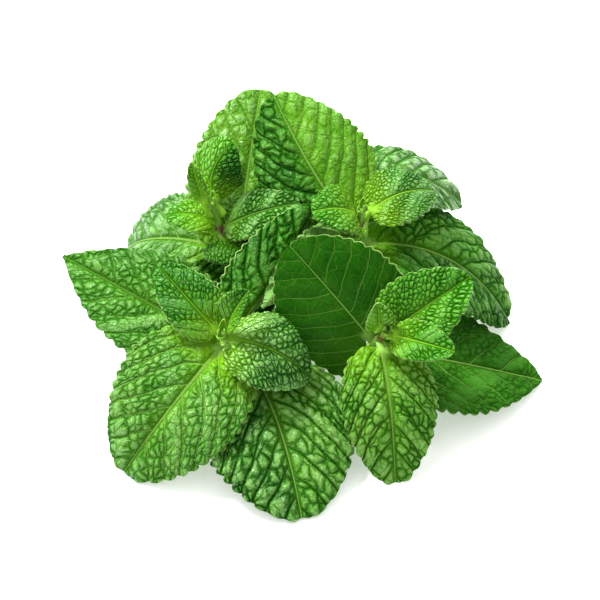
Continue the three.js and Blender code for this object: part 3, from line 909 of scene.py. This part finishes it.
def budPlaces(shoot):
    # Base, tip and facing of each bud leaf at the top of a shoot
    top, axis = along(shoot["path"], 1.0)
    right = unit(np.array([1, 0, 0]) - axis * axis[0])
    back = np.cross(axis, right)
    for degrees, length, lean in zip(bud["around"], bud["length"], bud["lean"]):
        angle = math.radians(degrees)
        out = right * math.cos(angle) + back * math.sin(angle)
        base = top - axis * bud["sunk"] + out * bud["apart"]
        yield base, top + (axis * length + out * lean) * shoot["budSize"], axis - out


youngTeeth = 10  # a leaf with fewer teeth than this is young, in its material and in its usual look
leafSeed, shootSeed = 3.1, 17.0  # steps of the seed from leaf to leaf and from shoot to shoot


def makeLeaves():
    tree, identifiers = quiltTree()
    grownMaterial = leafMaterial("mintLeaf", green["grown"])
    youngMaterial = leafMaterial("youngMintLeaf", green["young"])
    total = 0
    for shootName, shoot in shoots.items():
        for number, (leafName, own) in enumerate(leaves[shootName].items()):
            isYoung = own.get("teeth", usualLeaf["teeth"]) < youngTeeth
            leaf = {**usualLeaf, "look": "young" if isYoung else "grown", **own}
            node = shootName + "_" + leafName
            leaf["seed"] = leafSeed * number + shootSeed * list(shoots).index(shootName)
            material = youngMaterial if isYoung else grownMaterial
            base = leafBase(shoot["path"], leaf)
            piece = bakedLeaf("blade_" + node, base, leaf, tree, identifiers, material)
            finishPiece(piece, node)
            total += 2 * len(piece.data.polygons)
        for number, (base, tip, face) in enumerate(budPlaces(shoot)):
            leaf = {**bud, "tip": tip, "face": face, "seed": number}
            leaf["width"] *= np.linalg.norm(tip - base)
            name = "bud_%s_%d" % (shootName, number + 1)
            finishPiece(bakedLeaf(name, base, leaf, tree, identifiers, youngMaterial), "stem")
    print("leaves made,", total, "triangles")


def ribbedSection(width):
    # Corners of a rounded square whose faces are a little hollow, as offsets from the middle
    angle = np.linspace(0, 2 * np.pi, stem["sides"], endpoint=False)
    power = stem["roundness"]
    radius = (abs(np.cos(angle)) ** power + abs(np.sin(angle)) ** power) ** (-1 / power)
    radius *= 1 - stem["faceHollow"] * np.cos(2 * angle) ** 4
    return np.stack([np.cos(angle), np.sin(angle)], axis=1) * (radius * width / 2)[:, None]


def sweep(points, headings, side, widths):
    # Vertices and faces of a closed stalk
    rings = []
    for point, heading, width in zip(points, headings, widths):
        first = unit(side - heading * side.dot(heading))
        second = np.cross(heading, first)
        section = ribbedSection(width)
        rings.append(point + section[:, :1] * first + section[:, 1:] * second)
    count, sides = len(rings), stem["sides"]
    vertices = np.concatenate(rings + [points[:1], points[-1:]])
    faces = []
    for i in range(count - 1):
        for k in range(sides):
            a, b = i * sides + k, i * sides + (k + 1) % sides
            faces.append((a, b, b + sides, a + sides))
    for k in range(sides):
        faces.append((count * sides, (k + 1) % sides, k))
        last = (count - 1) * sides
        faces.append((count * sides + 1, last + k, last + (k + 1) % sides))
    return vertices, faces


def shootStalk(name):
    path = shoots[name]["path"]
    parameter, length = evenShares(path)
    share = np.linspace(0, 1, int(length / stem["stepLength"]))
    points, headings = along(path, parameter(share))
    nodes = np.zeros_like(share)
    for leaf in leaves[name].values():
        distance = (share - 1) * length + leaf["below"]
        nodes = np.maximum(nodes, np.exp(-(distance / stem["nodeLength"]) ** 2))
    start, control, end = (np.array(point) for point in path)
    side = unit(np.cross(control - start, end - control))
    widths = shootWidth(share) * (1 + stem["nodeSwell"] * nodes)
    vertices, faces = sweep(points, headings, side, widths)
    below, strength = shoots[name]["tinted"]
    tint = strength * np.exp(-(((share - 1) * length + below) / stem["tintLength"]) ** 2)
    return vertices, faces, tint


def mainStalk():
    # The main stem's own line, a smooth curve through its four points
    controls = np.array(stem["mainPath"])
    padded = np.concatenate([[2 * controls[0] - controls[1]], controls, [2 * controls[-1] - controls[-2]]])
    points = []
    for a, b, c, d in zip(padded, padded[1:], padded[2:], padded[3:]):
        for t in np.linspace(0, 1, stem["mainSteps"], endpoint=False):
            points.append(0.5 * (2 * b + (c - a) * t + (2 * a - 5 * b + 4 * c - d) * t ** 2
                                 + (3 * b - a - 3 * c + d) * t ** 3))
    points = np.array(points + [controls[-1]])
    headings = unit(np.gradient(points, axis=0))
    vertices, faces = sweep(points, headings, np.array([0, 0, 1]), np.full(len(points), stem["mainWidth"]))
    return vertices, faces, np.zeros(len(points))


def makeStem():
    allVertices, allFaces, allNodes = [], [], []
    for vertices, faces, nodes in [mainStalk()] + [shootStalk(name) for name in shoots]:
        offset = sum(len(v) for v in allVertices)
        allVertices.append(vertices)
        allFaces += [tuple(k + offset for k in face) for face in faces]
        allNodes += [np.repeat(nodes, stem["sides"]), nodes[:1], nodes[-1:]]
    vertices = np.concatenate(allVertices) - boxMiddle
    vertices[:, 2] = np.maximum(vertices[:, 2], lowest)
    mesh = smoothMesh("stalks", vertices, allFaces)
    addMeasure(mesh, "node", np.concatenate(allNodes))
    mesh.materials.append(stemMaterial())
    finishPiece(addObject("stalks", mesh), "stem")
    print("stem made")


makeLeaves()
makeStem()

# Floor and light
stage = {
    "floorSize": 3.0,
    "floorColour": (0.9, 0.9, 0.9, 1),
    "floorRoughness": 0.9,
    "floorGlow": 0.28,  # lightens the shadows on it
    "brightSide": (-0.1, 0.65, 0.75),  # where the world is brightest
    "fade": (-0.35, 0.9),  # how far towards that side it is dim, and fully bright
    "dim": 0.6,
    "bright": 1.7,
    "lampPlace": (-0.55, 0.45, 0.95),
    "lampSize": 0.4,
    "lampPower": 29,  # watts
}


def makeFloor():
    corners = np.array([(-1, -1, 0), (1, -1, 0), (1, 1, 0), (-1, 1, 0)]) * stage["floorSize"] / 2
    mesh = smoothMesh("floor", corners, [(0, 1, 2, 3)])
    material, _, _ = newMaterial("floor", {
        "Base Color": stage["floorColour"], "Roughness": stage["floorRoughness"],
        "Emission Color": (1, 1, 1, 1), "Emission Strength": stage["floorGlow"]})
    mesh.materials.append(material)
    addObject("floor", mesh)


def makeLight():
    world = bpy.data.worlds.new("world")
    world.use_nodes = True
    tree = world.node_tree
    background = tree.nodes["Background"]
    connect((1, 1, 1, 1), background.inputs["Color"])
    x, y, z = separate(tree, addNode(tree, "ShaderNodeTexCoord", (), "Generated"))
    left, back, up = stage["brightSide"]
    strength = (z * up + y * back + x * left).ramp(*stage["fade"], stage["dim"], stage["bright"])
    connect(strength, background.inputs["Strength"])
    bpy.context.scene.world = world
    light = bpy.data.lights.new("key", "AREA")
    light.shape = "DISK"
    light.size, light.energy = stage["lampSize"], stage["lampPower"]
    lamp = addObject("key", light)
    lamp.location = stage["lampPlace"]
    lamp.rotation_euler = (Vector(camera["target"]) - lamp.location).to_track_quat("-Z", "Y").to_euler()
    bpy.context.scene.view_settings.view_transform = "Standard"


makeFloor()
makeLight()
print("stage made")
